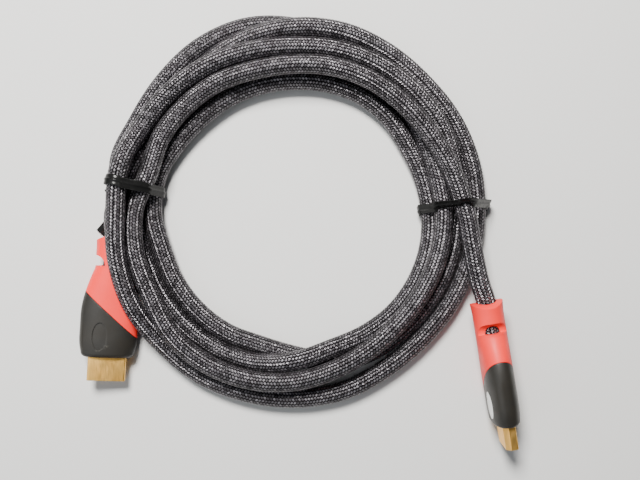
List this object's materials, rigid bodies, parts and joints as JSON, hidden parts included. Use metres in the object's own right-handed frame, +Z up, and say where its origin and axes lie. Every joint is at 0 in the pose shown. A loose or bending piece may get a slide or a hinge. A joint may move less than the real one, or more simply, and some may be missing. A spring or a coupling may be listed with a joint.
{
  "type": "hdmi cable",
  "caption": "Braided black HDMI cable coiled flat under twist ties, with red and black plugs and gold shells.",
  "frame": {"origin": "middle of the base of the whole coiled cable, on the surface it lies on", "axes": "+Z up from the surface, +X from the plug that lies flat towards the plug that stands on edge, +Y away from the ends that the plugs point to"},
  "size_m": [0.1632, 0.1586, 0.0217],
  "materials": {
    "braid": "glossy black filament mesh over a black jacket",
    "tie_plastic": "glossy black ribbon with a wire core",
    "housing_plastic": "satin black moulding",
    "relief_plastic": "soft coral red moulding",
    "gold_plate": "bright gold plating, brushed",
    "carrier_plastic": "black moulding",
    "contact_gold": "gold plating",
    "label_plastic": "white, bare"
  },
  "bodies": {
    "root": {"cable_coil": "braid", "cable_end_a": "braid", "cable_end_b": "braid", "contact_a_lower_01": "contact_gold", "contact_a_lower_02": "contact_gold", "contact_a_lower_03": "contact_gold", "contact_a_lower_04": "contact_gold", "contact_a_lower_05": "contact_gold", "contact_a_lower_06": "contact_gold", "contact_a_lower_07": "contact_gold", "contact_a_lower_08": "contact_gold", "contact_a_lower_09": "contact_gold", "contact_a_upper_01": "contact_gold", "contact_a_upper_02": "contact_gold", "contact_a_upper_03": "contact_gold", "contact_a_upper_04": "contact_gold", "contact_a_upper_05": "contact_gold", "contact_a_upper_06": "contact_gold", "contact_a_upper_07": "contact_gold", "contact_a_upper_08": "contact_gold", "contact_a_upper_09": "contact_gold", "contact_a_upper_10": "contact_gold", "contact_b_lower_01": "contact_gold", "contact_b_lower_02": "contact_gold", "contact_b_lower_03": "contact_gold", "contact_b_lower_04": "contact_gold", "contact_b_lower_05": "contact_gold", "contact_b_lower_06": "contact_gold", "contact_b_lower_07": "contact_gold", "contact_b_lower_08": "contact_gold", "contact_b_lower_09": "contact_gold", "contact_b_upper_01": "contact_gold", "contact_b_upper_02": "contact_gold", "contact_b_upper_03": "contact_gold", "contact_b_upper_04": "contact_gold", "contact_b_upper_05": "contact_gold", "contact_b_upper_06": "contact_gold", "contact_b_upper_07": "contact_gold", "contact_b_upper_08": "contact_gold", "contact_b_upper_09": "contact_gold", "contact_b_upper_10": "contact_gold", "plug_a_contact_carrier": "carrier_plastic", "plug_a_housing": "housing_plastic", "plug_a_label_plate": "label_plastic", "plug_a_shell": "gold_plate", "plug_a_strain_relief": "relief_plastic", "plug_b_contact_carrier": "carrier_plastic", "plug_b_housing": "housing_plastic", "plug_b_label_plate": "label_plastic", "plug_b_shell": "gold_plate", "plug_b_strain_relief": "relief_plastic", "twist_tie_left": "tie_plastic", "twist_tie_right": "tie_plastic"}
  },
  "joints": []
}
